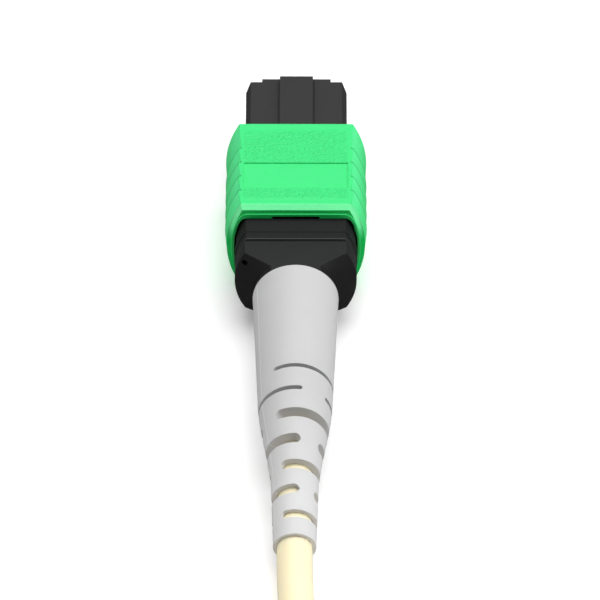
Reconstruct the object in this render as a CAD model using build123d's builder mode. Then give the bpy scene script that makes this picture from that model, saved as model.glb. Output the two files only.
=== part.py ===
from build123d import *
import math
import os

os.makedirs("parts", exist_ok=True)

# Driving sizes of the connector, in millimetres
nose_width = 8.95
nose_height = 6.2
nose_edge_chamfer = 0.43
nose_length = 8.55
tongue_width = 6.1
tongue_reach = 0.45
corner_cut_side = 0.4
corner_cut_back = 1.1
key_width = 2.95
key_height = 0.5
key_setback = 0.25
key_end_gap = 0.3

sleeve_width = 12.4
sleeve_height = 8.7
sleeve_length = 12.3
sleeve_flat = 10.0
sleeve_plain_length = 3.6
sleeve_travel = 2.5
sleeve_stop_gap = 0.5
sleeve_bevel = 0.4
rim_wall = 0.3
rim_depth = 0.35
front_bore_depth = 2.7
scale_count = 4
scale_depth = 0.15
scale_notch = 0.12
notch_length = 0.2
panel_width = 9.1
panel_length = 3.7
panel_setback = 5.8
panel_depth = 0.1
groove_width = 3.9
groove_depth = 0.4
lug_length = 1.1
lug_setback = 0.2

collar_radius = 5.33
collar_half_height = 3.12
collar_length = 4.4
collar_band = 1.0
collar_band_step = 0.04
flange_radius = 5.3
flange_half_height = 2.95
flange_thickness = 1.85
hip_length = 1.65
hip_half_width = 2.15
hip_half_height = 2.8
neck_length = 1.1
dimple_radius = 0.25
dimple_depth = 0.3
dimple_side = 4.4
dimple_rise = 2.1

chamber_width = 7.3
chamber_height = 4.3
chamber_corner = 1.0
chamber_depth = 5.4

ferrule_width = 6.4
ferrule_height = 2.5
ferrule_proud = 0.5
shoulder_width = 7.0
shoulder_height = 3.0
shoulder_length = 2.0
polish_angle = 8.0
guide_hole_diameter = 0.7
guide_hole_pitch = 4.6
fibre_count = 12
fibre_diameter = 0.125
fibre_pitch = 0.25
fibre_sides = 8
ferrule_window_width = 4.6
ferrule_window_height = 1.5
ferrule_window_depth = 3.0
clamp_length = 1.5
ferrule_boot_tail = 1.2
ribbon_width = 3.1
ribbon_thickness = 0.32
bundle_radius = 0.7

main_spring_length = 7.9
main_spring_turns = 5
main_spring_width = 6.3
main_spring_height = 3.5
main_spring_wire = 0.44
side_spring_diameter = 1.1
side_spring_wire = 0.2
side_spring_turns = 7
turn_corners = 10
wire_sides = 4
side_groove_floor = 4.05
side_groove_height = 1.4

push_bore_width = 4.8
push_bore_height = 2.4
latch_length = 1.2
latch_setback = 1.07
latch_bite = 0.84
latch_height = 2.0
post_radius = 1.9
post_bore_radius = 1.1
post_length = 6.0
crimp_wall = 0.4
crimp_start = 0.6
crimp_tail = 3.4

boot_root_radius = 3.72
boot_shoulder_radius = 3.22
boot_neck_radius = 1.98
boot_tip_radius = 1.82
boot_shoulder = 14.0
boot_neck = 26.5
boot_length = 31.9
boot_straight = 10.0
boot_droop = 2.1
boot_cavity_depth = 10.0
boot_spans = 16
bore_spans = 6
slot_first = 13.4
slot_pitch = 2.72
slot_count = 7
slot_span = 137.0
slot_narrow = 0.45
slot_wide = 1.0
slot_last = 0.8
narrow_slot_count = 2
bridge_angle = 33.0

cable_diameter = 3.0
slide_gap = 0.1
seat_gap = 0.02
fit_gap = 0.05

# Driving sizes of the far end of the trunk cable
hank_inner_lane = 9.3
hank_lanes = 2
hank_layers = 2
hank_run = 19.0
hank_distance = 12.8
tie_width = 3.5
tie_thickness = 0.4
fanout_radius = 4.5
fanout_length = 24.0
fanout_wall = 1.0
fanout_chamfer = 0.6
fanout_boot_length = 12.0
fanout_boot_radius = 3.2
fanout_boot_tip = 1.9
fanout_gap = 0.9
cap_length = 5.0
cap_lip = 2.0
leg_diameter = 2.0
leg_pitch = 3.0
leg_sleeve_reach = 6.0
leg_sleeve_wall = 0.35

# Depths behind the front of the inner housing
sleeve_start = nose_length
sleeve_end = sleeve_start + sleeve_length
flange_start = sleeve_end + sleeve_travel + sleeve_stop_gap
flange_end = flange_start + flange_thickness
hip_end = flange_end + hip_length
boot_start = hip_end + neck_length
collar_start = flange_start - collar_length
spring_seat = sleeve_start + front_bore_depth
shoulder_front = chamber_depth + seat_gap
shoulder_rear = shoulder_front + shoulder_length
clamp_rear = shoulder_rear + clamp_length
push_front = clamp_rear + main_spring_length

# The bent axis of the boot: straight out of the housing, then one gentle arc down
bend_length = boot_length - boot_straight
bend_radius = bend_length**2 / (2 * boot_droop)
bend_angle = bend_length / bend_radius
boot_reach = boot_start + boot_straight + bend_radius * math.sin(bend_angle)
tip_lean = boot_tip_radius * math.sin(bend_angle)

# The part lies on its sleeve, with the origin under the middle of the connector
overall_length = ferrule_proud + boot_reach + tip_lean
front_y = overall_length / 2 - ferrule_proud
axis_z = sleeve_height / 2


def across(depth, height=0.0):
    return Plane((0, front_y - depth, axis_z + height), x_dir=(1, 0, 0), z_dir=(0, -1, 0))


def along_boot(distance):
    if distance <= boot_straight:
        return across(boot_start + distance)
    turn = (distance - boot_straight) / bend_radius
    centre = Vector(
        0,
        front_y - boot_start - boot_straight - bend_radius * math.sin(turn),
        axis_z - bend_radius * (1 - math.cos(turn)),
    )
    return Plane(centre, x_dir=(1, 0, 0), z_dir=(0, -math.cos(turn), -math.sin(turn)))


def save(part, name):
    part.label = name
    export_step(part, f"parts/{name}.step")


# A barrel outline has flats above and below and one arc on each side
def barrel_outline(half_width, half_height, flat):
    with BuildLine() as outline:
        Line((-flat / 2, half_height), (flat / 2, half_height))
        ThreePointArc((flat / 2, half_height), (half_width, 0), (flat / 2, -half_height))
        Line((flat / 2, -half_height), (-flat / 2, -half_height))
        ThreePointArc((-flat / 2, -half_height), (-half_width, 0), (-flat / 2, half_height))
    make_face(outline.edges())


def flat_of(radius, half_height):
    return 2 * math.sqrt(radius**2 - half_height**2)


# Inner housing: nose with key, side spring grooves, rear collar and the ferrule chamber
with BuildPart() as inner_housing:
    with BuildSketch(across(tongue_reach)) as nose_section:
        Rectangle(nose_width, nose_height)
        chamfer(nose_section.vertices(), length=nose_edge_chamfer)
    extrude(amount=collar_start - tongue_reach)
    with BuildSketch(across(0)):
        Rectangle(tongue_width, nose_height)
    extrude(amount=tongue_reach)
    for side in (-1, 1):
        with BuildSketch(Plane.XY):
            with BuildLine():
                Polyline(
                    (side * (nose_width / 2 - corner_cut_side), front_y),
                    (side * nose_width, front_y),
                    (side * nose_width, front_y - tongue_reach - corner_cut_back),
                    (side * nose_width / 2, front_y - tongue_reach - corner_cut_back),
                    (side * (nose_width / 2 - corner_cut_side), front_y - tongue_reach),
                    close=True,
                )
            make_face()
        extrude(amount=sleeve_height, mode=Mode.SUBTRACT)
    with BuildSketch(across(key_setback, nose_height / 2)):
        with Locations((0, key_height / 2 - seat_gap)):
            Rectangle(key_width, key_height + 2 * seat_gap)
    extrude(amount=nose_length - key_end_gap - key_setback)
    with BuildSketch(across(collar_start)):
        barrel_outline(collar_radius, collar_half_height, flat_of(collar_radius, collar_half_height))
    extrude(amount=collar_length - collar_band)
    band_radius = collar_radius - collar_band_step
    band_half_height = collar_half_height - collar_band_step
    with BuildSketch(across(flange_start - collar_band)):
        barrel_outline(band_radius, band_half_height, flat_of(band_radius, band_half_height))
    extrude(amount=collar_band)
    lug_front = spring_seat + lug_setback
    lug_height = groove_depth + slide_gap
    with BuildSketch(across(lug_front)):
        with Locations((0, nose_height / 2), (0, -nose_height / 2)):
            Rectangle(groove_width - groove_depth, 2 * lug_height)
    extrude(amount=lug_length)
    with BuildSketch(across(0)):
        Rectangle(ferrule_width + 2 * slide_gap, ferrule_height + 2 * slide_gap)
    extrude(amount=chamber_depth, mode=Mode.SUBTRACT)
    with BuildSketch(across(chamber_depth)):
        RectangleRounded(chamber_width, chamber_height, chamber_corner)
    extrude(amount=flange_start - chamber_depth, mode=Mode.SUBTRACT)
    groove_reach = nose_width / 2 - side_groove_floor
    with BuildSketch(across(spring_seat)):
        with Locations((side_groove_floor + groove_reach, 0), (-side_groove_floor - groove_reach, 0)):
            Rectangle(2 * groove_reach, side_groove_height)
    extrude(amount=collar_start - spring_seat, mode=Mode.SUBTRACT)
    latch_front = collar_start + latch_setback
    with BuildSketch(across(latch_front - slide_gap)):
        Rectangle(2 * sleeve_width, latch_height + 2 * slide_gap)
    extrude(amount=latch_length + 2 * slide_gap, mode=Mode.SUBTRACT)
save(inner_housing.part, "inner_housing")

# Coupling sleeve: barrel section, overlapping grip scales, and a stepped bore with slide grooves
cavity_radius = collar_radius + slide_gap
cavity_half_height = collar_half_height + slide_gap
with BuildPart() as coupling_sleeve:
    scale_pitch = (sleeve_length - sleeve_plain_length - sleeve_bevel) / scale_count
    scale_edges = [sleeve_start]
    for scale in range(scale_count + 1):
        scale_edges.append(sleeve_start + sleeve_plain_length + scale * scale_pitch)
    for scale_front, scale_rear in zip(scale_edges, scale_edges[1:]):
        with BuildSketch(across(scale_front)):
            barrel_outline(sleeve_width / 2, sleeve_height / 2, sleeve_flat)
        with BuildSketch(across(scale_rear - notch_length)):
            barrel_outline(
                sleeve_width / 2 - scale_depth, sleeve_height / 2, sleeve_flat - 2 * scale_depth
            )
        loft()
        with BuildSketch(across(scale_rear - notch_length)):
            barrel_outline(
                sleeve_width / 2 - scale_depth, sleeve_height / 2, sleeve_flat - 2 * scale_depth
            )
        notch_inset = scale_depth + scale_notch
        with BuildSketch(across(scale_rear)):
            barrel_outline(
                sleeve_width / 2 - notch_inset, sleeve_height / 2, sleeve_flat - 2 * notch_inset
            )
        loft()
    for inset in (0, sleeve_bevel):
        with BuildSketch(across(sleeve_end - sleeve_bevel + inset)):
            barrel_outline(
                sleeve_width / 2 - scale_depth - inset,
                sleeve_height / 2 - inset,
                sleeve_flat - 2 * scale_depth - inset,
            )
    loft()
    rim_inset = sleeve_bevel + rim_wall
    with BuildSketch(across(sleeve_end - rim_depth)):
        barrel_outline(
            sleeve_width / 2 - scale_depth - rim_inset,
            sleeve_height / 2 - rim_inset,
            sleeve_flat - 2 * scale_depth - rim_inset,
        )
    extrude(amount=rim_depth, mode=Mode.SUBTRACT)
    with BuildSketch(across(sleeve_start)) as front_bore:
        Rectangle(nose_width + 2 * slide_gap, nose_height + 2 * slide_gap)
        chamfer(front_bore.vertices(), length=nose_edge_chamfer)
    extrude(amount=sleeve_length, mode=Mode.SUBTRACT)
    with BuildSketch(across(spring_seat)):
        barrel_outline(
            cavity_radius, cavity_half_height, flat_of(cavity_radius, cavity_half_height)
        )
    extrude(amount=sleeve_end - spring_seat, mode=Mode.SUBTRACT)
    slot_front = lug_front - sleeve_travel - slide_gap
    slot_rear = lug_front + lug_length + seat_gap
    rib_rear = slot_rear + lug_length
    slot_half_height = nose_height / 2 + lug_height + slide_gap
    with BuildSketch(across(slot_front)):
        Rectangle(groove_width, 2 * slot_half_height)
    extrude(amount=slot_rear - slot_front, mode=Mode.SUBTRACT)
    with BuildSketch(across(rib_rear)):
        Rectangle(groove_width, 2 * (cavity_half_height + groove_depth))
    extrude(amount=sleeve_end - rib_rear, mode=Mode.SUBTRACT)
    panel_start = sleeve_start + panel_setback
    with BuildSketch(across(panel_start)):
        with Locations((0, sleeve_height / 2)):
            Rectangle(panel_width, 2 * panel_depth)
    extrude(amount=panel_length, mode=Mode.SUBTRACT)
save(coupling_sleeve.part, "coupling_sleeve")

# Moulded ferrule with its angled end face, guide holes and fibre holes
with BuildPart() as ferrule:
    tip_drop = ferrule_height * math.tan(math.radians(polish_angle))
    tip_y = front_y + ferrule_proud
    with BuildSketch(Plane.YZ):
        with BuildLine():
            Polyline(
                (tip_y, axis_z + ferrule_height / 2),
                (front_y - shoulder_rear, axis_z + ferrule_height / 2),
                (front_y - shoulder_rear, axis_z - ferrule_height / 2),
                (tip_y - tip_drop, axis_z - ferrule_height / 2),
                close=True,
            )
        make_face()
    extrude(amount=ferrule_width / 2, both=True)
    with BuildSketch(across(shoulder_front)):
        Rectangle(shoulder_width, shoulder_height)
    extrude(amount=shoulder_length)
    with BuildSketch(across(shoulder_rear - ferrule_window_depth)):
        Rectangle(ferrule_window_width - guide_hole_diameter - 2 * slide_gap, ferrule_window_height)
    extrude(amount=ferrule_window_depth, mode=Mode.SUBTRACT)
    with BuildSketch(across(-ferrule_proud)):
        with GridLocations(guide_hole_pitch, 0, 2, 1):
            Circle(guide_hole_diameter / 2)
        with GridLocations(fibre_pitch, 0, fibre_count, 1):
            RegularPolygon(fibre_diameter / 2, fibre_sides)
    extrude(amount=ferrule_proud + shoulder_rear, mode=Mode.SUBTRACT)
save(ferrule.part, "mt_ferrule")

# Pin clamp plate that carries the spring's thrust to the ferrule
with BuildPart() as pin_clamp:
    with BuildSketch(across(shoulder_rear)):
        Rectangle(shoulder_width, shoulder_height)
        Rectangle(ribbon_width + 2 * fit_gap, ferrule_window_height, mode=Mode.SUBTRACT)
        with GridLocations(guide_hole_pitch, 0, 2, 1):
            Circle(guide_hole_diameter / 2, mode=Mode.SUBTRACT)
    extrude(amount=clamp_length)
save(pin_clamp.part, "pin_clamp")

# Soft boot that closes the ferrule's window round the ribbon
with BuildPart() as ferrule_boot:
    boot_width = ribbon_width
    with BuildSketch(across(shoulder_rear - ferrule_window_depth + fit_gap)):
        Rectangle(boot_width, ferrule_window_height - 2 * fit_gap)
    extrude(amount=ferrule_window_depth - fit_gap + clamp_length + ferrule_boot_tail)
    with BuildSketch(across(clamp_rear)):
        Rectangle(ribbon_width - 4 * fit_gap, ribbon_thickness)
    extrude(amount=ferrule_boot_tail, mode=Mode.SUBTRACT)
save(ferrule_boot.part, "ferrule_boot")

# Bare fibres, cemented in the ferrule's holes and polished flush with its end face
with BuildPart() as fibres:
    face_depth = tip_drop / 2 - ferrule_proud
    with BuildSketch(across(face_depth)):
        with GridLocations(fibre_pitch, 0, fibre_count, 1):
            RegularPolygon(fibre_diameter / 2, fibre_sides)
    extrude(amount=shoulder_rear - ferrule_window_depth - face_depth)
save(fibres.part, "fibre_array")

# Ribbon that gathers into a round bundle on its way to the cable
gather_start = flange_start
gather_end = flange_end
cable_start = boot_start + post_length
with BuildPart() as ribbon:
    with BuildSketch(across(clamp_rear + ferrule_boot_tail)):
        Rectangle(ribbon_width, ribbon_thickness)
    extrude(amount=gather_start - clamp_rear - ferrule_boot_tail)
    with BuildSketch(across(gather_start)):
        Rectangle(ribbon_width, ribbon_thickness)
    with BuildSketch(across(gather_end)):
        Rectangle(bundle_radius, bundle_radius)
    loft()
    with BuildSketch(across(gather_end)):
        Circle(bundle_radius)
    extrude(amount=cable_start - gather_end)
save(ribbon.part, "fibre_ribbon")

# Oval main spring, wound with round corners between the pin clamp and the rear body
wire_reach = main_spring_wire / 2
half_x = main_spring_width / 2 - wire_reach
half_z = main_spring_height / 2 - wire_reach
spring_rise = (main_spring_length - 2 * wire_reach - 2 * seat_gap) / (4 * main_spring_turns)
spring_points = []
for corner in range(4 * main_spring_turns + 1):
    sign_x = 1 if corner % 4 in (0, 3) else -1
    sign_z = 1 if corner % 4 in (0, 1) else -1
    point_y = front_y - clamp_rear - seat_gap - wire_reach - corner * spring_rise
    spring_points.append((sign_x * half_x, point_y, axis_z + sign_z * half_z))
with BuildPart() as main_spring:
    with BuildLine() as spring_path:
        FilletPolyline(*spring_points, radius=0.9 * half_z)
    start = spring_path.line @ 0
    heading = spring_path.line % 0
    with BuildSketch(Plane(start, z_dir=heading)):
        RegularPolygon(wire_reach, wire_sides)
    sweep(path=spring_path.line)
save(main_spring.part, "ferrule_spring")

# Two small springs in the side grooves that push the sleeve forward
side_spring_x = (side_groove_floor + cavity_radius) / 2
side_spring_start = spring_seat + seat_gap + side_spring_wire / 2
side_spring_end = collar_start - seat_gap - side_spring_wire / 2
side_spring_rise = (side_spring_end - side_spring_start) / (side_spring_turns * turn_corners)
side_coil_radius = (side_spring_diameter - side_spring_wire) / 2
for side, name in ((-1, "coupling_spring_left"), (1, "coupling_spring_right")):
    side_points = []
    for corner in range(side_spring_turns * turn_corners + 1):
        turn = 2 * math.pi * corner / turn_corners
        side_points.append(
            (
                side * side_spring_x + side_coil_radius * math.cos(turn),
                front_y - side_spring_start - corner * side_spring_rise,
                axis_z + side_coil_radius * math.sin(turn),
            )
        )
    with BuildPart() as side_spring:
        with BuildLine() as side_path:
            Polyline(*side_points)
        start = side_path.line @ 0
        heading = side_path.line % 0
        with BuildSketch(Plane(start, z_dir=heading)):
            RegularPolygon(side_spring_wire / 2, wire_sides)
        sweep(path=side_path.line, transition=Transition.RIGHT)
    save(side_spring.part, name)

# Rear body: socket tube with latches, flange with flats, hipped back and the crimp post
with BuildPart() as rear_body:
    with BuildSketch(across(push_front)):
        RectangleRounded(
            chamber_width - 2 * fit_gap, chamber_height - 2 * fit_gap, chamber_corner - fit_gap
        )
    extrude(amount=flange_start - push_front)
    with BuildSketch(across(latch_front)):
        Rectangle(chamber_width + 2 * latch_bite, latch_height)
    extrude(amount=latch_length)
    with BuildSketch(across(flange_start)):
        barrel_outline(
            flange_radius, flange_half_height, flat_of(flange_radius, flange_half_height)
        )
    extrude(amount=flange_thickness)
    with BuildSketch(across(flange_end)):
        barrel_outline(
            flange_radius, flange_half_height, flat_of(flange_radius, flange_half_height)
        )
    hip_radius = math.hypot(hip_half_width, hip_half_height)
    with BuildSketch(across(hip_end)):
        barrel_outline(hip_radius, hip_half_height, 2 * hip_half_width)
    loft()
    with BuildSketch(across(hip_end)):
        barrel_outline(hip_radius, hip_half_height, 2 * hip_half_width)
    extrude(amount=neck_length)
    with BuildSketch(across(boot_start)):
        Circle(post_radius)
    extrude(amount=post_length)
    with BuildSketch(across(push_front)):
        RectangleRounded(push_bore_width, push_bore_height, push_bore_height / 4)
    extrude(amount=flange_end - push_front, mode=Mode.SUBTRACT)
    with BuildSketch(across(flange_end)):
        Circle(post_bore_radius)
    extrude(amount=cable_start - flange_end, mode=Mode.SUBTRACT)
    with BuildSketch(across(flange_end - dimple_depth)):
        with Locations((-dimple_side, dimple_rise)):
            Circle(dimple_radius)
    extrude(amount=hip_length, mode=Mode.SUBTRACT)
save(rear_body.part, "rear_body")

# Stepped metal crimp over the post and the end of the jacket
cable_radius = cable_diameter / 2
crimp_inner = post_radius + seat_gap
crimp_neck_inner = cable_radius + seat_gap
with BuildPart() as crimp_sleeve:
    with BuildSketch(along_boot(crimp_start)):
        Circle(crimp_inner + crimp_wall)
        Circle(crimp_inner, mode=Mode.SUBTRACT)
    extrude(amount=post_length - crimp_start)
    with BuildSketch(along_boot(post_length)):
        Circle(crimp_inner + crimp_wall)
        Circle(crimp_neck_inner, mode=Mode.SUBTRACT)
    extrude(amount=crimp_wall)
    with BuildSketch(along_boot(post_length)):
        Circle(crimp_neck_inner + crimp_wall)
        Circle(crimp_neck_inner, mode=Mode.SUBTRACT)
    extrude(amount=crimp_tail)
save(crimp_sleeve.part, "crimp_sleeve")


# The boot's outer radius: a slow cone, a smooth S down to the neck, and a slow cone to the tip
def boot_radius(distance):
    if distance <= boot_shoulder:
        share = distance / boot_shoulder
        return boot_root_radius + share * (boot_shoulder_radius - boot_root_radius)
    if distance <= boot_neck:
        share = (distance - boot_shoulder) / (boot_neck - boot_shoulder)
        blend = share * share * (3 - 2 * share)
        return boot_shoulder_radius + blend * (boot_neck_radius - boot_shoulder_radius)
    share = (distance - boot_neck) / (boot_length - boot_neck)
    return boot_neck_radius + share * (boot_tip_radius - boot_neck_radius)


# Strain-relief boot: a bent taper with seven levels of paired slots, turned a quarter each level
boot_bore_radius = cable_radius + fit_gap
boot_stations = [0.0]
for span in range(boot_spans + 1):
    boot_stations.append(boot_straight + bend_length * span / boot_spans)
with BuildPart() as boot:
    for station in boot_stations:
        with BuildSketch(along_boot(station)):
            Circle(boot_radius(station))
    loft(ruled=True)
    bore_points = [along_boot(0).origin]
    for span in range(bore_spans + 1):
        bore_points.append(along_boot(boot_straight + bend_length * span / bore_spans).origin)
    with BuildLine() as bore_path:
        Polyline(*bore_points)
    with BuildSketch(along_boot(0)):
        Circle(boot_bore_radius)
    sweep(path=bore_path.line, transition=Transition.RIGHT, mode=Mode.SUBTRACT)
    with BuildSketch(along_boot(0)):
        Circle(crimp_inner + crimp_wall + slide_gap)
    extrude(amount=boot_cavity_depth, mode=Mode.SUBTRACT)
    for level in range(slot_count):
        slot_width = slot_wide
        if level < narrow_slot_count:
            slot_width = slot_narrow
        if level == slot_count - 1:
            slot_width = slot_last
        middle = slot_first + level * slot_pitch
        slot_plane = along_boot(middle)
        reach = boot_root_radius + slide_gap
        turned = bridge_angle if level % 2 == 0 else bridge_angle - 90
        half_span = slot_span / 2 - math.degrees(slot_width / 2 / boot_radius(middle))
        for centre_angle in (turned, turned + 180):
            first = 90 - centre_angle - half_span
            with BuildSketch(slot_plane.offset(-slot_width / 2)):
                with BuildLine():
                    arc = CenterArc((0, 0), reach, first, 2 * half_span)
                    Line((0, 0), arc @ 0)
                    Line((0, 0), arc @ 1)
                make_face()
                Circle(cable_radius, mode=Mode.SUBTRACT)
            extrude(amount=slot_width, mode=Mode.SUBTRACT)
            for end_angle in (first, first + 2 * half_span):
                turn = math.radians(end_angle)
                outward = (
                    slot_plane.x_dir * math.cos(turn) + slot_plane.y_dir * math.sin(turn)
                )
                end_start = slot_plane.origin + outward * cable_radius
                with BuildSketch(Plane(end_start, x_dir=slot_plane.z_dir, z_dir=outward)):
                    Circle(slot_width / 2)
                extrude(amount=reach - cable_radius, mode=Mode.SUBTRACT)
save(boot.part, "boot")

# The stretch of trunk cable that the crimp and the boot hold
with BuildPart() as cable_root:
    with BuildLine() as root_path:
        Line(along_boot(post_length).origin, along_boot(boot_straight).origin)
        TangentArc(
            along_boot(boot_straight).origin,
            along_boot(boot_length).origin,
            tangent=(0, -1, 0),
        )
    with BuildSketch(along_boot(post_length)):
        Circle(cable_radius)
    sweep(path=root_path.line)
save(cable_root.part, "cable_root")

# Free trunk cable from the boot's mouth to the hank, in straight runs and tangent arcs
mouth = along_boot(boot_length)
hank_outer_lane = hank_inner_lane + cable_diameter * (hank_lanes - 1)
hank_outer = hank_outer_lane + cable_radius
hank_inner = hank_inner_lane - cable_radius
hank_height = hank_layers * cable_diameter
fanout_x = sleeve_width / 2 - fanout_radius
hank_x = fanout_x - hank_outer_lane
hank_front_y = mouth.origin.Y - hank_distance - hank_outer
hank_rear_y = hank_front_y - hank_run
hank_y = (hank_front_y + hank_rear_y) / 2
floor_z = cable_radius + fit_gap
first_run = (mouth.origin.Z - floor_z) / math.sin(bend_angle)
landing = mouth.origin + mouth.z_dir * first_run
trunk_points = [
    mouth.origin,
    landing,
    Vector(0.3, -40.0, floor_z),
    Vector(1.3, -48.4, floor_z),
    Vector(fanout_x, hank_front_y, floor_z),
]


def corner_radii(points):
    radii = []
    for before, corner, after in zip(points, points[1:], points[2:]):
        turn = (corner - before).get_angle(after - corner)
        run = min((corner - before).length, (after - corner).length)
        radii.append(0.45 * run / math.tan(math.radians(turn) / 2))
    return radii


trunk_radii = corner_radii(trunk_points)
with BuildPart() as trunk_cable:
    with BuildLine() as trunk_path:
        FilletPolyline(*trunk_points, radius=trunk_radii)
    with BuildSketch(mouth):
        Circle(cable_radius)
    sweep(path=trunk_path.line)
save(trunk_cable.part, "trunk_cable")
trunk_length = trunk_path.wires()[0].length
tube_share = trunk_cable.part.volume / (math.pi * cable_radius**2 * trunk_length)
print("trunk corner radii", [round(radius, 1) for radius in trunk_radii])
print("trunk length", round(trunk_length, 2), "volume share", round(tube_share, 4))
print("trunk points", [tuple(round(value, 2) for value in point) for point in trunk_points])

# The put-away hank of trunk cable, as the closed shape that its turns fill
with BuildPart() as trunk_hank:
    with BuildSketch(Plane.XY):
        with Locations((hank_x, hank_y)):
            SlotCenterToCenter(hank_run, 2 * hank_outer, rotation=90)
            SlotCenterToCenter(hank_run, 2 * hank_inner, rotation=90, mode=Mode.SUBTRACT)
    extrude(amount=hank_height)
save(trunk_hank.part, "trunk_hank")

# A strap round one side of the hank holds its turns together
with BuildPart() as hank_tie:
    tie_x = hank_x + (hank_outer + hank_inner) / 2
    with BuildSketch(Plane((tie_x, hank_y, hank_height / 2), x_dir=(1, 0, 0), z_dir=(0, -1, 0))):
        with Locations((0, tie_thickness / 2)):
            Rectangle(hank_outer - hank_inner + 2 * tie_thickness, hank_height + tie_thickness)
            Rectangle(
                hank_outer - hank_inner, hank_height - tie_thickness, mode=Mode.SUBTRACT
            )
    extrude(amount=tie_width / 2, both=True)
save(hank_tie.part, "hank_tie")

# Fan-out fitting: boot, barrel and end cap, on the cable's line out of the hank's top layer
boot_side = hank_outer_lane - fanout_boot_tip
fanout_boot_y = hank_rear_y - math.sqrt(hank_outer**2 - boot_side**2) - fanout_gap
fanout_y = fanout_boot_y - fanout_boot_length


def down_line(y):
    return Plane((fanout_x, y, fanout_radius), x_dir=(1, 0, 0), z_dir=(0, -1, 0))


with BuildPart() as trunk_tail:
    with BuildSketch(down_line(hank_rear_y)):
        Circle(cable_radius)
    extrude(amount=hank_rear_y - fanout_y)
save(trunk_tail.part, "trunk_tail")

with BuildPart() as fanout_boot:
    with BuildSketch(down_line(fanout_boot_y)):
        Circle(fanout_boot_tip)
    with BuildSketch(down_line(fanout_y)):
        Circle(fanout_boot_radius)
    loft()
    with BuildSketch(down_line(fanout_boot_y)):
        Circle(cable_radius)
    extrude(amount=fanout_boot_length, mode=Mode.SUBTRACT)
save(fanout_boot.part, "fanout_boot")

with BuildPart() as fanout_body:
    with BuildSketch(down_line(fanout_y)):
        Circle(fanout_radius)
    extrude(amount=fanout_length)
    chamfer(fanout_body.faces().sort_by(Axis.Y)[-1].edges(), length=fanout_chamfer)
    with BuildSketch(down_line(fanout_y - fanout_wall)):
        Circle(fanout_radius - fanout_wall)
    extrude(amount=fanout_length - fanout_wall, mode=Mode.SUBTRACT)
save(fanout_body.part, "fanout_body")

cap_y = fanout_y - fanout_length
outlet_radius = leg_diameter / 2 + leg_sleeve_wall
with BuildPart() as fanout_cap:
    with BuildSketch(down_line(cap_y + cap_lip)):
        Circle(fanout_radius - fanout_wall)
    extrude(amount=cap_lip)
    with BuildSketch(down_line(cap_y)):
        Circle(fanout_radius)
    extrude(amount=cap_length - cap_lip)
    with BuildSketch(down_line(cap_y + cap_lip)):
        with GridLocations(leg_pitch, leg_pitch, 2, 2):
            Circle(outlet_radius)
    extrude(amount=cap_length, mode=Mode.SUBTRACT)
save(fanout_cap.part, "fanout_cap")

# Four outlet sleeves in the cap, one for each leg
with BuildPart() as leg_outlets:
    cap_end = cap_y - cap_length + cap_lip
    with BuildSketch(down_line(cap_y + cap_lip)):
        with GridLocations(leg_pitch, leg_pitch, 2, 2):
            Circle(outlet_radius)
    extrude(amount=cap_length + leg_sleeve_reach)
    with BuildSketch(down_line(cap_y + cap_lip)):
        with GridLocations(leg_pitch, leg_pitch, 2, 2):
            Circle(leg_diameter / 2 + fit_gap)
    extrude(amount=cap_length + leg_sleeve_reach, mode=Mode.SUBTRACT)
save(leg_outlets.part, "leg_outlets")
print("housing front at y", round(front_y, 3), "outlet mouths at y", round(cap_end - leg_sleeve_reach, 3))
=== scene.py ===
import bmesh
import bpy
import math
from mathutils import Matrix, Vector


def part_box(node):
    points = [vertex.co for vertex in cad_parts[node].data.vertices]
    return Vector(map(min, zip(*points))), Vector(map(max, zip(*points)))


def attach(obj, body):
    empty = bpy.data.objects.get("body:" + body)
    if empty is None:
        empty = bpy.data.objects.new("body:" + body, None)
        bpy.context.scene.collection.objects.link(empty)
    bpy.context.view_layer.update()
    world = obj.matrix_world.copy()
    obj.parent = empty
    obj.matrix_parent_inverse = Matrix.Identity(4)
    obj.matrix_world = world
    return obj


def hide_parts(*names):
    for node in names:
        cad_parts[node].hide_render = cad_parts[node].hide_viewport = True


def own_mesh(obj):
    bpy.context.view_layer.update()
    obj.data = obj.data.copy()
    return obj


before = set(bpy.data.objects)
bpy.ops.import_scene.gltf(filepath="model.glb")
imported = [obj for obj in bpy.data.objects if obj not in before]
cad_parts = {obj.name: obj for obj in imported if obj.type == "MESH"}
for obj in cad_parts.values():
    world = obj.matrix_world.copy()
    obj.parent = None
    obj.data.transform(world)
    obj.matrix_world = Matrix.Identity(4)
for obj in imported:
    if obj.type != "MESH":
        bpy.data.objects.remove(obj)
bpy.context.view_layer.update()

scene = bpy.context.scene
mm = 0.001

# The camera stands off the cable's end and looks down at the plug, with a very long lens,
# as in a shop's picture: almost no perspective, and the cable leaving the frame below.
camera_place = Vector((0.0016, -0.5818, 0.4434))
camera_down = math.radians(36.97)
camera_turn = math.radians(0.12)
film_width = 36.0
lens_length = 506.3
nearest_seen, farthest_seen = 0.05, 20.0
camera_data = bpy.data.cameras.new("camera")
camera_data.sensor_width = film_width
camera_data.lens = lens_length
camera_data.clip_start = nearest_seen
camera_data.clip_end = farthest_seen
camera = bpy.data.objects.new("camera", camera_data)
camera.location = camera_place
camera.rotation_euler = (math.pi / 2 - camera_down, 0.0, camera_turn)
scene.collection.objects.link(camera)
scene.camera = camera
scene.view_settings.view_transform = "Standard"


# A plain white table lies under the part and keeps the soft shadow beside it. It is a little
# lighter to the camera, and darker in the reflections, which keeps upright faces deep in colour.
def new_material(name):
    material = bpy.data.materials.new(name)
    material.use_nodes = True
    nodes = material.node_tree.nodes
    nodes.clear()
    output = nodes.new("ShaderNodeOutputMaterial")
    return material, nodes, material.node_tree.links, output


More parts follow.
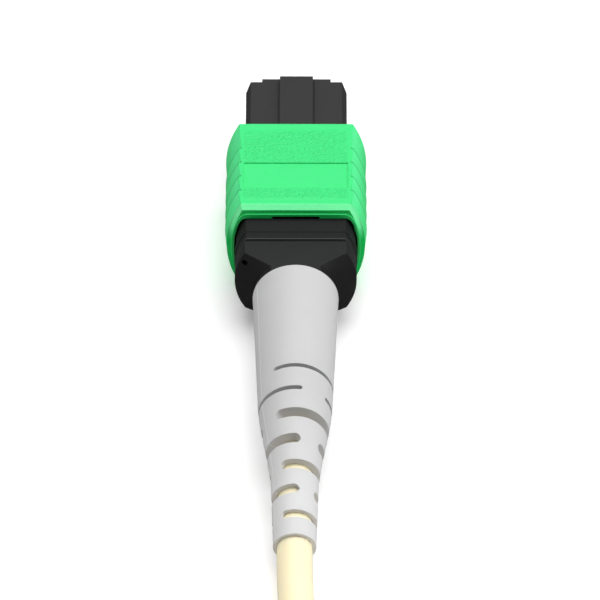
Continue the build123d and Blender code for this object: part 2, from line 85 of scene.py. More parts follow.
table_reach = 3.0
table_white = (0.9, 0.9, 0.9, 1.0)
table_in_gloss = (0.15, 0.15, 0.15, 1.0)
pure_white = (1.0, 1.0, 1.0, 1.0)
table_lift = 0.19
table_material, nodes, links, output = new_material("white_table")
surface = nodes.new("ShaderNodeBsdfDiffuse")
surface.inputs["Color"].default_value = table_white
glow = nodes.new("ShaderNodeEmission")
glow.inputs["Color"].default_value = pure_white
dim = nodes.new("ShaderNodeBsdfDiffuse")
dim.inputs["Color"].default_value = table_in_gloss
rays = nodes.new("ShaderNodeLightPath")
share = nodes.new("ShaderNodeMath")
share.operation = "MULTIPLY"
share.inputs[1].default_value = table_lift
links.new(rays.outputs["Is Camera Ray"], share.inputs[0])
links.new(share.outputs[0], glow.inputs["Strength"])
both = nodes.new("ShaderNodeAddShader")
links.new(surface.outputs[0], both.inputs[0])
links.new(glow.outputs[0], both.inputs[1])
reflected = nodes.new("ShaderNodeMixShader")
links.new(rays.outputs["Is Glossy Ray"], reflected.inputs["Fac"])
links.new(both.outputs[0], reflected.inputs[1])
links.new(dim.outputs[0], reflected.inputs[2])
links.new(reflected.outputs[0], output.inputs["Surface"])
table_mesh = bpy.data.meshes.new("table")
bm = bmesh.new()
bmesh.ops.create_grid(bm, x_segments=1, y_segments=1, size=table_reach)
bm.to_mesh(table_mesh)
bm.free()
table = bpy.data.objects.new("table", table_mesh)
table_mesh.materials.append(table_material)
scene.collection.objects.link(table)

# The light is a large softbox above the plug with a weaker one on each side, in a dim even room,
# so upright faces turned to the camera are lit mostly by the table.
room_light, backdrop_light = 0.3, 1.0
lamps = (
    ("softbox", (0.01, 0.14, 0.58), 0.5, 3.1),
    ("right_fill", (0.45, -0.1, 0.4), 0.35, 1.7),
    ("left_fill", (-0.45, 0.0, 0.38), 0.35, 0.5),
)
world = bpy.data.worlds.new("room")
world.use_nodes = True
scene.world = world
nodes, links = world.node_tree.nodes, world.node_tree.links
nodes.clear()
output = nodes.new("ShaderNodeOutputWorld")
room = nodes.new("ShaderNodeBackground")
room.inputs["Strength"].default_value = room_light
backdrop = nodes.new("ShaderNodeBackground")
backdrop.inputs["Strength"].default_value = backdrop_light
rays = nodes.new("ShaderNodeLightPath")
seen = nodes.new("ShaderNodeMath")
seen.operation = "MAXIMUM"
links.new(rays.outputs["Is Camera Ray"], seen.inputs[0])
links.new(rays.outputs["Is Transmission Ray"], seen.inputs[1])
pick = nodes.new("ShaderNodeMixShader")
links.new(seen.outputs[0], pick.inputs["Fac"])
links.new(room.outputs[0], pick.inputs[1])
links.new(backdrop.outputs[0], pick.inputs[2])
links.new(pick.outputs[0], output.inputs["Surface"])
for name, place, size, power in lamps:
    lamp_data = bpy.data.lights.new(name, "AREA")
    lamp_data.size = size
    lamp_data.energy = power
    lamp = bpy.data.objects.new(name, lamp_data)
    lamp.location = place
    lamp.rotation_euler = (-Vector(place)).to_track_quat("-Z", "Y").to_euler()
    scene.collection.objects.link(lamp)

# The trunk cable is a 3 mm round cord: fibres and pulling yarn in a soft, pale yellow jacket.
# It comes out of the boot's mouth, lies down on the table, and is put away in a tied hank in
# line with the plug: three turns in two lanes and two layers, then straight to the fan-out.
cable_diameter = 3.0
cable_exit = (0.0, -30.185, 2.256)
cable_route = [cable_exit, (0.0, -33.82, 1.55), (0.3, -40.0, 1.55), (1.3, -48.4, 1.55)]
hank_x = -10.6
hank_front_y = -56.785
hank_rear_y = -75.785
inner_lane, outer_lane = 9.3, 12.3
low_layer, high_layer = 1.52, 4.52
hank_turns = [
    ((outer_lane, outer_lane), (low_layer, low_layer), (outer_lane, inner_lane)),
    ((inner_lane, inner_lane), (low_layer, high_layer), (inner_lane, inner_lane)),
    ((inner_lane, outer_lane), (high_layer, high_layer), (outer_lane, outer_lane)),
]
run_shares = (0.0, 0.2, 0.8)
bend_steps = 9
cord_smoothness = 6
tail_points = [(1.7, -86.8, 4.5), (1.7, -97.755, 4.5)]


def eased(share):
    return share * share * (3.0 - 2.0 * share)


for bottom_lanes, heights, top_lanes in hank_turns:
    for share in run_shares:
        down = hank_front_y + (hank_rear_y - hank_front_y) * share
        cable_route.append((hank_x + bottom_lanes[0], down, heights[0]))
    for step in range(bend_steps):
        share = step / bend_steps
        lane = bottom_lanes[0] + eased(share) * (bottom_lanes[1] - bottom_lanes[0])
        angle = math.pi * share
        cable_route.append(
            (hank_x + lane * math.cos(angle), hank_rear_y - lane * math.sin(angle), heights[0])
        )
    for share in run_shares:
        up = hank_rear_y + (hank_front_y - hank_rear_y) * share
        height = heights[0] + eased(share) * (heights[1] - heights[0])
        cable_route.append((hank_x - bottom_lanes[1], up, height))
    for step in range(bend_steps):
        share = step / bend_steps
        lane = top_lanes[0] + eased(share) * (top_lanes[1] - top_lanes[0])
        angle = math.pi * (1.0 - share)
        cable_route.append(
            (hank_x + lane * math.cos(angle), hank_front_y + lane * math.sin(angle), heights[1])
        )
for share in run_shares:
    down = hank_front_y + (hank_rear_y - hank_front_y) * share
    cable_route.append((hank_x + outer_lane, down, high_layer))
cable_route += tail_points

# The thickness is in the points' radius and the bevel is 1, so that the curve's own box fits it.
cable_curve = bpy.data.curves.new("trunk_cord", "CURVE")
cable_curve.dimensions = "3D"
spline = cable_curve.splines.new("NURBS")
spline.points.add(len(cable_route) - 1)
for point, place in zip(spline.points, cable_route):
    point.co = (place[0] * mm, place[1] * mm, place[2] * mm, 1.0)
    point.radius = cable_diameter / 2 * mm
spline.order_u = 3
spline.use_endpoint_u = True
spline.resolution_u = cord_smoothness
cable_curve.bevel_depth = 1.0
cable_curve.bevel_resolution = cord_smoothness
cable_curve.use_fill_caps = True
trunk_cord = bpy.data.objects.new("trunk_cord", cable_curve)
scene.collection.objects.link(trunk_cord)
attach(trunk_cord, "root")
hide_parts("trunk_cable", "trunk_hank", "trunk_tail")

# The inner housing is one black moulding of glass-filled plastic: the plug's nose with its key,
# the springs' grooves and the collar that the rear body snaps into. Its spark-eroded mould left
# it satin, and it is duller at the collar. Painted shade darkens thin strips beside the key, and
# a painted highlight lightens its rear edge.
grain_relief = 0.00002
broad_to_fine = 18.0
noise_detail = 3.0
plastic_spread, plastic_bump = 0.06, 0.6
weld_distance = 0.000001
flat_angle = math.radians(0.4)
edge_steps = 2


def moulded(name, colour, roughness, grain, relief, unevenness, gloss=0.2):
    material, nodes, links, output = new_material(name)
    shader = nodes.new("ShaderNodeBsdfPrincipled")
    shader.inputs["Specular IOR Level"].default_value = gloss
    links.new(shader.outputs[0], output.inputs["Surface"])
    place = nodes.new("ShaderNodeTexCoord")
    fine = nodes.new("ShaderNodeTexNoise")
    fine.inputs["Scale"].default_value = grain
    fine.inputs["Detail"].default_value = noise_detail
    links.new(place.outputs["Object"], fine.inputs["Vector"])
    broad = nodes.new("ShaderNodeTexNoise")
    broad.inputs["Scale"].default_value = grain / broad_to_fine
    links.new(place.outputs["Object"], broad.inputs["Vector"])
    tint = nodes.new("ShaderNodeMix")
    tint.data_type = "RGBA"
    tint.inputs["A"].default_value = [value * (1.0 - unevenness) for value in colour] + [1.0]
    tint.inputs["B"].default_value = [value * (1.0 + unevenness) for value in colour] + [1.0]
    links.new(broad.outputs["Fac"], tint.inputs["Factor"])
    links.new(tint.outputs["Result"], shader.inputs["Base Color"])
    satin = nodes.new("ShaderNodeMapRange")
    satin.inputs["To Min"].default_value = roughness - plastic_spread
    satin.inputs["To Max"].default_value = roughness + plastic_spread
    links.new(fine.outputs["Fac"], satin.inputs["Value"])
    links.new(satin.outputs["Result"], shader.inputs["Roughness"])
    bump = nodes.new("ShaderNodeBump")
    bump.inputs["Strength"].default_value = plastic_bump
    bump.inputs["Distance"].default_value = relief
    links.new(fine.outputs["Fac"], bump.inputs["Height"])
    links.new(bump.outputs["Normal"], shader.inputs["Normal"])
    return material, nodes, links, shader


def dressed(node, piece, body, material, sharp=30.0, edge=0.0):
    bm = bmesh.new()
    bm.from_mesh(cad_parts[node].data)
    bmesh.ops.remove_doubles(bm, verts=bm.verts, dist=weld_distance)
    bmesh.ops.dissolve_limit(
        bm,
        angle_limit=flat_angle,
        verts=bm.verts,
        edges=bm.edges,
        use_dissolve_boundaries=False,
    )
    mesh = bpy.data.meshes.new(piece)
    bm.to_mesh(mesh)
    bm.free()
    if "custom_normal" in mesh.attributes:
        mesh.attributes.remove(mesh.attributes["custom_normal"])
    mesh.materials.clear()
    mesh.materials.append(material)
    mesh.polygons.foreach_set("use_smooth", [True] * len(mesh.polygons))
    mesh.polygons.foreach_set("material_index", [0] * len(mesh.polygons))
    mesh.set_sharp_from_angle(angle=math.radians(sharp))
    thing = bpy.data.objects.new(piece, mesh)
    scene.collection.objects.link(thing)
    if edge:
        rounding = thing.modifiers.new("edges", "BEVEL")
        rounding.limit_method = "ANGLE"
        rounding.angle_limit = math.radians(sharp)
        rounding.width = edge
        rounding.segments = edge_steps
        rounding.use_clamp_overlap = True
        rounding.harden_normals = True
    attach(thing, body)
    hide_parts(node)
    return thing


black = (0.013, 0.013, 0.0135)
# Painted shade for the strips beside the key, and a painted highlight for the rear edge.
painted_key_shade = (0.0, 0.0, 0.0)
painted_edge_highlight = (0.05, 0.05, 0.05)
moulded_edge = 0.00006
collar_from, nose_from = 0.012, 0.0205
collar_gloss, nose_gloss = 0.1, 0.42
key_side, key_side_reach = 0.00156, 0.00014
highlight_below_y = 0.0063
housing_black, nodes, links, shader = moulded(
    "housing_black", black, roughness=0.55, grain=9000.0, relief=grain_relief, unevenness=0.08
)


# These four add to the material that was begun last, through its nodes, links and shader.
def fed(kind, *values):
    node = nodes.new("ShaderNodeMath")
    node.operation = kind
    for socket, value in zip(node.inputs, values):
        if isinstance(value, float):
            socket.default_value = value
        else:
            links.new(value, socket)
    return node.outputs[0]


def ramp(value, start, end, low=0.0, high=1.0):
    node = nodes.new("ShaderNodeMapRange")
    node.inputs["From Min"].default_value = start
    node.inputs["From Max"].default_value = end
    node.inputs["To Min"].default_value = low
    node.inputs["To Max"].default_value = high
    links.new(value, node.inputs["Value"])
    return node.outputs["Result"]


def axes():
    place = nodes.new("ShaderNodeTexCoord")
    apart = nodes.new("ShaderNodeSeparateXYZ")
    links.new(place.outputs["Object"], apart.inputs[0])
    return place, apart


def tinted(share, colour):
    mixer = nodes.new("ShaderNodeMix")
    mixer.data_type = "RGBA"
    mixer.inputs["B"].default_value = (*colour, 1.0)
    links.new(share, mixer.inputs["Factor"])
    links.new(shader.inputs["Base Color"].links[0].from_socket, mixer.inputs["A"])
    links.new(mixer.outputs["Result"], shader.inputs["Base Color"])


place, apart = axes()
links.new(
    ramp(apart.outputs["Y"], collar_from, nose_from, collar_gloss, nose_gloss),
    shader.inputs["Specular IOR Level"],
)
from_key = fed("ABSOLUTE", fed("SUBTRACT", fed("ABSOLUTE", apart.outputs["X"]), key_side))
beside_key = fed(
    "MULTIPLY",
    ramp(from_key, key_side_reach, 0.0),
    ramp(apart.outputs["Y"], collar_from, nose_from),
)
# Painted shade: thin dark strips either side of the key, where its walls shade the nose.
tinted(beside_key, painted_key_shade)
# Painted highlight: a lighter line along the housing's rear edge.
tinted(fed("LESS_THAN", apart.outputs["Y"], highlight_below_y), painted_edge_highlight)
dressed("inner_housing", "housing", "root", housing_black, edge=moulded_edge)

# The ferrule is a block of glass-filled resin, ground at its end face, with two guide holes. A
# stamped clamp sits behind it, and a soft grey window boot gathers the fibres.
resin = (0.018, 0.018, 0.02)
clamp_grey = (0.55, 0.55, 0.56)
soft_grey = (0.5, 0.5, 0.51)
drawn_shade, drawn_spread, drawn_bump = 0.86, 0.08, 0.5
ferrule_resin = moulded(
    "ferrule_resin", resin, roughness=0.4, grain=16000.0, relief=0.00001, unevenness=0.3
)[0]
dressed("mt_ferrule", "ferrule_block", "ferrule", ferrule_resin)


def metal(name, colour, roughness, along, across, relief):
    material, nodes, links, output = new_material(name)
    shader = nodes.new("ShaderNodeBsdfPrincipled")
    shader.inputs["Metallic"].default_value = 1.0
    links.new(shader.outputs[0], output.inputs["Surface"])
    place = nodes.new("ShaderNodeTexCoord")
    drawn = nodes.new("ShaderNodeMapping")
    drawn.inputs["Scale"].default_value = (across, along, across)
    links.new(place.outputs["Object"], drawn.inputs["Vector"])
    lines = nodes.new("ShaderNodeTexNoise")
    lines.inputs["Scale"].default_value = 1.0
    lines.inputs["Detail"].default_value = noise_detail
    links.new(drawn.outputs["Vector"], lines.inputs["Vector"])
    tint = nodes.new("ShaderNodeMix")
    tint.data_type = "RGBA"
    tint.inputs["A"].default_value = [value * drawn_shade for value in colour] + [1.0]
    tint.inputs["B"].default_value = [*colour, 1.0]
    links.new(lines.outputs["Fac"], tint.inputs["Factor"])
    links.new(tint.outputs["Result"], shader.inputs["Base Color"])
    polish = nodes.new("ShaderNodeMapRange")
    polish.inputs["To Min"].default_value = roughness - drawn_spread
    polish.inputs["To Max"].default_value = roughness + drawn_spread
    links.new(lines.outputs["Fac"], polish.inputs["Value"])
    links.new(polish.outputs["Result"], shader.inputs["Roughness"])
    bump = nodes.new("ShaderNodeBump")
    bump.inputs["Strength"].default_value = drawn_bump
    bump.inputs["Distance"].default_value = relief
    links.new(lines.outputs["Fac"], bump.inputs["Height"])
    links.new(bump.outputs["Normal"], shader.inputs["Normal"])
    return material


clamp_steel = metal(
    "clamp_steel", clamp_grey, roughness=0.35, along=1500.0, across=12000.0, relief=0.000008
)
dressed("pin_clamp", "clamp_plate", "ferrule", clamp_steel)
window_grey = moulded(
    "window_grey", soft_grey, roughness=0.6, grain=7000.0, relief=grain_relief, unevenness=0.03
)[0]
dressed("ferrule_boot", "window_boot", "ferrule", window_grey)

# Twelve bare glass fibres stand a hair proud of the ferrule's end face, and a ribbon of twelve
# coated fibres in the usual order of colours runs back to the cable.
glass_dark, glass_light = (0.8, 0.86, 0.92, 1.0), (0.92, 0.95, 0.98, 1.0)
glass_clear, glass_bend = 0.6, 1.46
glass_cloud = 12000.0
glass_polish = (0.03, 0.12)
glass, nodes, links, output = new_material("fibre_glass")
shader = nodes.new("ShaderNodeBsdfPrincipled")
shader.inputs["Transmission Weight"].default_value = glass_clear
shader.inputs["IOR"].default_value = glass_bend
links.new(shader.outputs[0], output.inputs["Surface"])
place = nodes.new("ShaderNodeTexCoord")
cloud = nodes.new("ShaderNodeTexNoise")
cloud.inputs["Scale"].default_value = glass_cloud
links.new(place.outputs["Object"], cloud.inputs["Vector"])
polish = nodes.new("ShaderNodeMapRange")
polish.inputs["To Min"].default_value = glass_polish[0]
polish.inputs["To Max"].default_value = glass_polish[1]
links.new(cloud.outputs["Fac"], polish.inputs["Value"])
links.new(polish.outputs["Result"], shader.inputs["Roughness"])
tint = nodes.new("ShaderNodeMix")
tint.data_type = "RGBA"
tint.inputs["A"].default_value = glass_dark
tint.inputs["B"].default_value = glass_light
links.new(cloud.outputs["Fac"], tint.inputs["Factor"])
links.new(tint.outputs["Result"], shader.inputs["Base Color"])
dressed("fibre_array", "fibre_ends", "ferrule", glass)

fibre_colours = (
    (0.02, 0.1, 0.6),
    (0.85, 0.2, 0.02),
    (0.03, 0.4, 0.08),
    (0.2, 0.08, 0.03),
    (0.3, 0.32, 0.34),
    (0.85, 0.85, 0.85),
    (0.65, 0.02, 0.02),
    (0.02, 0.02, 0.02),
    (0.85, 0.65, 0.03),
    (0.25, 0.05, 0.4),
    (0.85, 0.35, 0.42),
    (0.05, 0.6, 0.6),
)
coat_white = (0.8, 0.8, 0.8)
ribbon_half = 0.00155
middle_height = 0.00435
ribbon_coat, nodes, links, shader = moulded(
    "ribbon_coat", coat_white, roughness=0.4, grain=9000.0, relief=0.000005, unevenness=0.02
)
place, apart = axes()
stripes = nodes.new("ShaderNodeValToRGB")
stripes.color_ramp.interpolation = "CONSTANT"
stripes.color_ramp.elements[0].color = (*fibre_colours[0], 1.0)
stripes.color_ramp.elements[1].position = 1.0 / len(fibre_colours)
stripes.color_ramp.elements[1].color = (*fibre_colours[1], 1.0)
for number, colour in enumerate(fibre_colours[2:], 2):
    stripe = stripes.color_ramp.elements.new(number / len(fibre_colours))
    stripe.color = (*colour, 1.0)
links.new(ramp(apart.outputs["X"], -ribbon_half, ribbon_half), stripes.inputs["Fac"])
links.new(stripes.outputs["Color"], shader.inputs["Base Color"])
ribbon = dressed("fibre_ribbon", "ribbon_fibres", "root", ribbon_coat)
low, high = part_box("fibre_ribbon")
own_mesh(ribbon)

# The springs are wound of drawn steel wire: one flattened coil that pushes the ferrule forward,
# and two small round coils in the housing's side grooves that push the sleeve forward.
wire_grey = (0.6, 0.6, 0.61)
spring_wire = metal(
    "spring_wire", wire_grey, roughness=0.28, along=3000.0, across=9000.0, relief=0.000004
)
main_wire, side_wire = 0.00044, 0.0002
main_turns, side_turns = 5, 9
flattened, circular = 0.6, 1.0
turn_steps = 28
wire_smoothness = 3


def coil(node, piece, wire, turns, squareness):
    low, high = [Vector(corner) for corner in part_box(node)]
    middle = (low + high) / 2
    reach_x = (high.x - low.x - wire) / 2
    reach_z = (high.z - low.z - wire) / 2
    rise = high.y - low.y - wire
    curve = bpy.data.curves.new(piece, "CURVE")
    curve.dimensions = "3D"
    line = curve.splines.new("POLY")
    steps = turns * turn_steps
    line.points.add(steps)
    for step, point in enumerate(line.points):
        angle = 2.0 * math.pi * step / turn_steps
        x = math.copysign(abs(math.cos(angle)) ** squareness, math.cos(angle))
        z = math.copysign(abs(math.sin(angle)) ** squareness, math.sin(angle))
        y = high.y - wire / 2 - rise * step / steps
        point.co = (middle.x + reach_x * x, y, middle.z + reach_z * z, 1.0)
    curve.bevel_depth = wire / 2
    curve.bevel_resolution = wire_smoothness
    curve.use_fill_caps = True
    shaper = bpy.data.objects.new(piece + "_shaper", curve)
    mesh = bpy.data.meshes.new_from_object(shaper)
    mesh.name = piece
    bpy.data.objects.remove(shaper)
    mesh.materials.clear()
    mesh.materials.append(spring_wire)
    mesh.polygons.foreach_set("use_smooth", [True] * len(mesh.polygons))
    spring = bpy.data.objects.new(piece, mesh)
    scene.collection.objects.link(spring)
    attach(spring, "root")
    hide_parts(node)
    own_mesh(spring)


coil(
    "ferrule_spring", "main_coil", main_wire, main_turns, flattened
)
for node, piece in (
    ("coupling_spring_left", "left_coil"),
    ("coupling_spring_right", "right_coil"),
):
    coil(node, piece, side_wire, side_turns, circular)

# The coupling sleeve is one green moulding that slides on the housing. Its flats have a coarse
# stipple round a smooth panel. Painted shade darkens the notches of its scales into lines, the
# faces that look back and the lower part of the rear bevel, and painted light lightens its upper
# sides and the rear bevel's top.
green = (0.03, 0.7, 0.19)
# After the base green come the painted shade greens and the painted light greens.
notch_shade_green = (0.0, 0.26, 0.06)
shaded_green = (0.0, 0.5, 0.09)
painted_lit_side_green = (0.12, 1.0, 0.4)
bevel_highlight_green = (0.2, 1.0, 0.42)
bevel_shade_green = (0.0, 0.4, 0.07)
sleeve_gloss, low_gloss = 0.5, 0.05
stipple_grain = 3600.0
stipple_detail = 2.0
stipple_bump = 0.8
stipple_relief = 0.0001
spot_low, spot_high = 0.35, 0.65
flat_from = 0.00432
stipple_half = 0.0048
stipple_rear, stipple_front = 0.0102, 0.0206
fade = 0.0004
scale_front = 0.017881
scale_pitch = 0.002075
scale_count = 4
line_share, line_depth = 0.06, 0.75
bevel_rear, bevel_front = 0.0092, 0.00962
lit_low, lit_high, lit_share = 0.0052, 0.0078, 0.75
side_from, side_lit, side_share = 0.0056, 0.0082, 0.45
low_from, low_to = 0.0064, 0.005
rear_normal = -0.85
sleeve_green, nodes, links, shader = moulded(
    "sleeve_green",
    green,
    roughness=0.55,
    grain=6500.0,
    relief=0.00003,
    unevenness=0.04,
    gloss=sleeve_gloss,
)

place, apart = axes()
off_middle = fed("ABSOLUTE", fed("SUBTRACT", apart.outputs["Z"], middle_height))
on_flat = fed("GREATER_THAN", off_middle, flat_from)
inside = ramp(fed("ABSOLUTE", apart.outputs["X"]), stipple_half, stipple_half - fade)
from_rear = ramp(apart.outputs["Y"], stipple_rear, stipple_rear + fade)
from_front = ramp(apart.outputs["Y"], stipple_front, stipple_front - fade)
between_ends = fed("MULTIPLY", from_rear, from_front)
rough_area = fed("MULTIPLY", fed("MULTIPLY", on_flat, inside), between_ends)
spots = nodes.new("ShaderNodeTexNoise")
spots.inputs["Scale"].default_value = stipple_grain
spots.inputs["Detail"].default_value = stipple_detail
links.new(place.outputs["Object"], spots.inputs["Vector"])
pits = fed("MULTIPLY", rough_area, ramp(spots.outputs["Fac"], spot_low, spot_high))
stipple = nodes.new("ShaderNodeBump")
stipple.inputs["Strength"].default_value = stipple_bump
stipple.inputs["Distance"].default_value = stipple_relief
links.new(pits, stipple.inputs["Height"])
links.new(shader.inputs["Normal"].links[0].from_socket, stipple.inputs["Normal"])
links.new(stipple.outputs["Normal"], shader.inputs["Normal"])
steps_back = fed("DIVIDE", fed("SUBTRACT", scale_front, apart.outputs["Y"]), scale_pitch)
near_notch = fed("LESS_THAN", fed("FRACT", fed("ADD", steps_back, line_share)), 2.0 * line_share)
on_scales = fed("LESS_THAN", apart.outputs["Y"], scale_front + scale_pitch * line_share)
scales_end = scale_front - scale_count * scale_pitch - fade
before_rear = fed("GREATER_THAN", apart.outputs["Y"], scales_end)
on_side = fed("GREATER_THAN", fed("ABSOLUTE", apart.outputs["X"]), stipple_half)
notch_line = fed(
    "MULTIPLY", fed("MULTIPLY", near_notch, on_scales), fed("MULTIPLY", before_rear, on_side)
)
sloped_side = fed("MULTIPLY", on_side, fed("SUBTRACT", 1.0, on_flat))
towards_top = ramp(apart.outputs["Z"], side_from, side_lit, 0.0, side_share)
# Painted light: the sloped sides are lighter towards the top.
tinted(fed("MULTIPLY", sloped_side, towards_top), painted_lit_side_green)
# Painted shade: dark lines in the notches between the scales.
tinted(fed("MULTIPLY", notch_line, line_depth), notch_shade_green)
facing = nodes.new("ShaderNodeSeparateXYZ")
links.new(place.outputs["Normal"], facing.inputs[0])
on_bevel = fed(
    "MULTIPLY",
    fed("GREATER_THAN", apart.outputs["Y"], bevel_rear),
    fed("LESS_THAN", apart.outputs["Y"], bevel_front),
)
rear_facing = fed("LESS_THAN", facing.outputs["Y"], rear_normal)
# Painted shade on the faces that look back.
tinted(rear_facing, shaded_green)
lit_above = ramp(apart.outputs["Z"], lit_low, lit_high, 0.0, lit_share)
# Painted highlight along the top of the rear bevel.
tinted(fed("MULTIPLY", on_bevel, lit_above), bevel_highlight_green)
# Painted shade on the lower part of the rear bevel, with less gloss there.
bevel_low = fed("MULTIPLY", on_bevel, ramp(apart.outputs["Z"], low_from, low_to))
tinted(bevel_low, bevel_shade_green)
links.new(
    ramp(bevel_low, 0.0, 1.0, sleeve_gloss, low_gloss), shader.inputs["Specular IOR Level"]
)
dressed("coupling_sleeve", "sleeve", "sleeve", sleeve_green, edge=moulded_edge)

# Behind, the sleeve's opening has a low lip of the same moulding close round the collar, with a
# shallow notch in the middle above and below. Its values are in millimetres.
lip_rear, lip_front = 9.03, 9.6
lip_outer = (5.55, 3.6, 8.5)
lip_inner = (5.4, 3.19, 8.66)
notch_half, notch_depth = 2.05, 0.2
lip_corner = 0.8
lip_sharp = 30.0
arc_steps = 14


def barrel_points(half_width, half_height, flat, notch):
    points = []
    radius_x = half_width - flat / 2
    for side in (1, -1):
        if notch:
            for end, rise in ((-1, 0.0), (-1, notch), (1, notch), (1, 0.0)):
                points.append((side * end * notch_half, side * (half_height + rise)))
        for step in range(arc_steps + 1):
            angle = math.pi / 2 - math.pi * step / arc_steps
            height = math.copysign(abs(math.sin(angle)) ** lip_corner, math.sin(angle))
            width = flat / 2 + radius_x * math.cos(angle)
            points.append((side * width, side * half_height * height))
    return points


bm = bmesh.new()
rings = []
for depth in (lip_front, lip_rear):
    for outline in (barrel_points(*lip_outer, 0.0), barrel_points(*lip_inner, notch_depth)):
        ring = [bm.verts.new((x * mm, depth * mm, middle_height + z * mm)) for x, z in outline]
        for first, second in zip(ring, ring[1:] + ring[:1]):
            bm.edges.new((first, second))
        rings.append(ring)
for ring_pair in ((rings[0], rings[1]), (rings[2], rings[3])):
    edges = []
    for ring in ring_pair:
        edges += [bm.edges.get(pair) for pair in zip(ring, ring[1:] + ring[:1])]
    bmesh.ops.triangle_fill(bm, use_beauty=True, use_dissolve=False, edges=edges)
for ring_pair in ((rings[0], rings[2]), (rings[1], rings[3])):
    front, rear = ring_pair
    for number, vertex in enumerate(front):
        following = (number + 1) % len(front)
        bm.faces.new((vertex, front[following], rear[following], rear[number]))
bmesh.ops.recalc_face_normals(bm, faces=bm.faces)
lip_mesh = bpy.data.meshes.new("sleeve_lip")
bm.to_mesh(lip_mesh)
bm.free()
lip_mesh.materials.append(sleeve_green)
lip_mesh.polygons.foreach_set("use_smooth", [True] * len(lip_mesh.polygons))
lip_mesh.set_sharp_from_angle(angle=math.radians(lip_sharp))
sleeve_lip = bpy.data.objects.new("sleeve_lip", lip_mesh)
scene.collection.objects.link(sleeve_lip)
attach(sleeve_lip, "sleeve")

# The rear body is a second black moulding, a shade deeper, with a painted shadow line along its
# seam with the housing, and with the socket that snaps in there and the post that the yarn is
# crimped on. The crimp is a plated tube.
deep_black = (0.009, 0.009, 0.0095)
seam_shadow_black = (0.001, 0.001, 0.001)
seam_line, seam_reach = 0.0061, 0.00008
plate_grey = (0.62, 0.62, 0.6)
rear_black, nodes, links, shader = moulded(
    "rear_black",
    deep_black,
    roughness=0.5,
    grain=9000.0,
    relief=grain_relief,
    unevenness=0.08,
    gloss=0.22,
)
place, apart = axes()
off_seam = fed("ABSOLUTE", fed("SUBTRACT", apart.outputs["Y"], seam_line))
# Painted shadow: a dark line along the seam, under the housing's rear edge.
tinted(fed("LESS_THAN", off_seam, seam_reach), seam_shadow_black)
dressed("rear_body", "rear_body_shell", "root", rear_black, edge=moulded_edge)
crimp_plate = metal(
    "crimp_plate", plate_grey, roughness=0.3, along=14000.0, across=1200.0, relief=0.00002
)
dressed("crimp_sleeve", "crimp_tube", "root", crimp_plate)

# The boot is a soft, light grey elastomer moulding that is pushed over the crimp. Painted light
# makes it a little lighter towards its mouth, and a faint parting line runs along each side.
grey = (0.52, 0.52, 0.522)
painted_light_grey = (0.63, 0.63, 0.632)
parting_grey = (0.85, 0.85, 0.85)
painted_light_from, painted_light_to = -0.014, -0.027
bend_start, bend_radius = -0.00842, 0.1142
parting_angle = math.radians(64.0)
parting_reach, parting_share = 0.00007, 0.7
boot_grey, nodes, links, shader = moulded(
    "boot_grey",
    grey,
    roughness=0.6,
    grain=7000.0,
    relief=grain_relief,
    unevenness=0.03,
    gloss=0.3,
)
place, apart = axes()
# Painted light: the boot is lighter towards its mouth.
tinted(ramp(apart.outputs["Y"], painted_light_from, painted_light_to), painted_light_grey)
past_bend = fed("MAXIMUM", fed("SUBTRACT", bend_start, apart.outputs["Y"]), 0.0)
drop = fed("DIVIDE", fed("MULTIPLY", past_bend, past_bend), 2.0 * bend_radius)
above_axis = fed("ADD", fed("SUBTRACT", apart.outputs["Z"], middle_height), drop)
off_line = fed(
    "ABSOLUTE",
    fed(
        "ADD",
        fed("MULTIPLY", apart.outputs["X"], math.cos(parting_angle)),
        fed("MULTIPLY", above_axis, math.sin(parting_angle)),
    ),
)
tinted(ramp(off_line, parting_reach, 0.0, 0.0, parting_share), parting_grey)
dressed("boot", "strain_relief", "root", boot_grey)

# The jacket's own plastic, on the cord and on the stretch inside the boot, is a satin, slightly
# translucent pale yellow with a very fine grain along it.
yellow = (0.93, 0.83, 0.57)
jacket_depth, jacket_glow = (0.001, 0.0008, 0.0005), 0.35
jacket_yellow, nodes, links, shader = moulded(
    "jacket_yellow", yellow, roughness=0.5, grain=4000.0, relief=grain_relief, unevenness=0.02
)
shader.inputs["Subsurface Weight"].default_value = jacket_glow
shader.inputs["Subsurface Radius"].default_value = jacket_depth
shader.inputs["Subsurface Scale"].default_value = 1.0
cable_curve.materials.append(jacket_yellow)
dressed("cable_root", "cable_in_boot", "root", jacket_yellow)

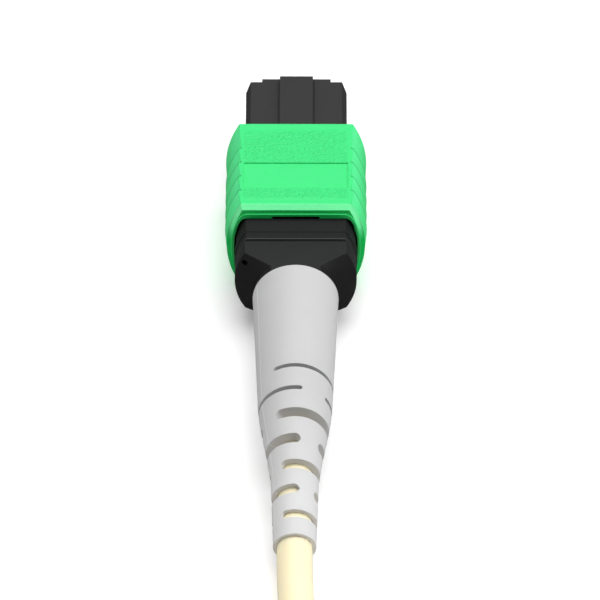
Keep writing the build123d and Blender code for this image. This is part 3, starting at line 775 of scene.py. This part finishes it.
# A woven black hook-and-loop strap holds the hank's turns together. Its end is laid over itself
# on top, and its face is matt with small raised loops.
woven_black = (0.02, 0.02, 0.022)
strap_edge = 0.0003
loop_count, loop_height, loop_bump = 3500.0, 0.0002, 0.8
end_length, end_thick, end_edge = 3.6 * mm, 0.35 * mm, 0.12 * mm
strap_black, nodes, links, shader = moulded(
    "strap_black",
    woven_black,
    roughness=0.9,
    grain=5000.0,
    relief=0.00015,
    unevenness=0.25,
    gloss=0.1,
)
weave = nodes.new("ShaderNodeTexVoronoi")
weave.inputs["Scale"].default_value = loop_count
place = nodes.new("ShaderNodeTexCoord")
links.new(place.outputs["Object"], weave.inputs["Vector"])
loops = nodes.new("ShaderNodeBump")
loops.inputs["Strength"].default_value = loop_bump
loops.inputs["Distance"].default_value = loop_height
links.new(weave.outputs["Distance"], loops.inputs["Height"])
links.new(loops.outputs["Normal"], shader.inputs["Normal"])
tie = dressed("hank_tie", "hank_strap", "root", strap_black, edge=strap_edge)
low, high = [Vector(corner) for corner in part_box("hank_tie")]
bm = bmesh.new()
bmesh.ops.create_cube(bm, size=1.0)
for vertex in bm.verts:
    vertex.co = Vector(
        (
            (low.x + high.x) / 2 + vertex.co.x * end_length,
            (low.y + high.y) / 2 + vertex.co.y * (high.y - low.y),
            high.z + (vertex.co.z + 0.5) * end_thick,
        )
    )
bmesh.ops.bevel(
    bm,
    geom=bm.edges[:],
    offset=end_edge,
    segments=edge_steps,
    profile=0.5,
    affect="EDGES",
    material=-1,
)
strap_end_mesh = bpy.data.meshes.new("strap_end")
bm.to_mesh(strap_end_mesh)
bm.free()
strap_end_mesh.materials.append(strap_black)
strap_end = bpy.data.objects.new("strap_end", strap_end_mesh)
scene.collection.objects.link(strap_end)
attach(strap_end, "root")

# The fan-out is a turned metal barrel. A black rubber boot takes the trunk in at its front, and
# a black cap behind it holds four short sleeves for the legs.
turned_grey = (0.66, 0.66, 0.67)
rubber = (0.02, 0.02, 0.021)
turned_edge = 0.00008
barrel_metal = metal(
    "barrel_metal", turned_grey, roughness=0.3, along=16000.0, across=900.0, relief=0.000012
)
rubber_black = moulded(
    "rubber_black", rubber, roughness=0.65, grain=6000.0, relief=grain_relief, unevenness=0.1
)[0]
fitting_pieces = [
    dressed("fanout_body", "fanout_barrel", "root", barrel_metal, edge=turned_edge),
    dressed("fanout_boot", "fanout_boot_skin", "root", rubber_black),
    dressed(
        "fanout_cap", "fanout_cap_disc", "root", rubber_black, edge=turned_edge
    ),
    dressed("leg_outlets", "outlet_sleeves", "root", rubber_black),
]
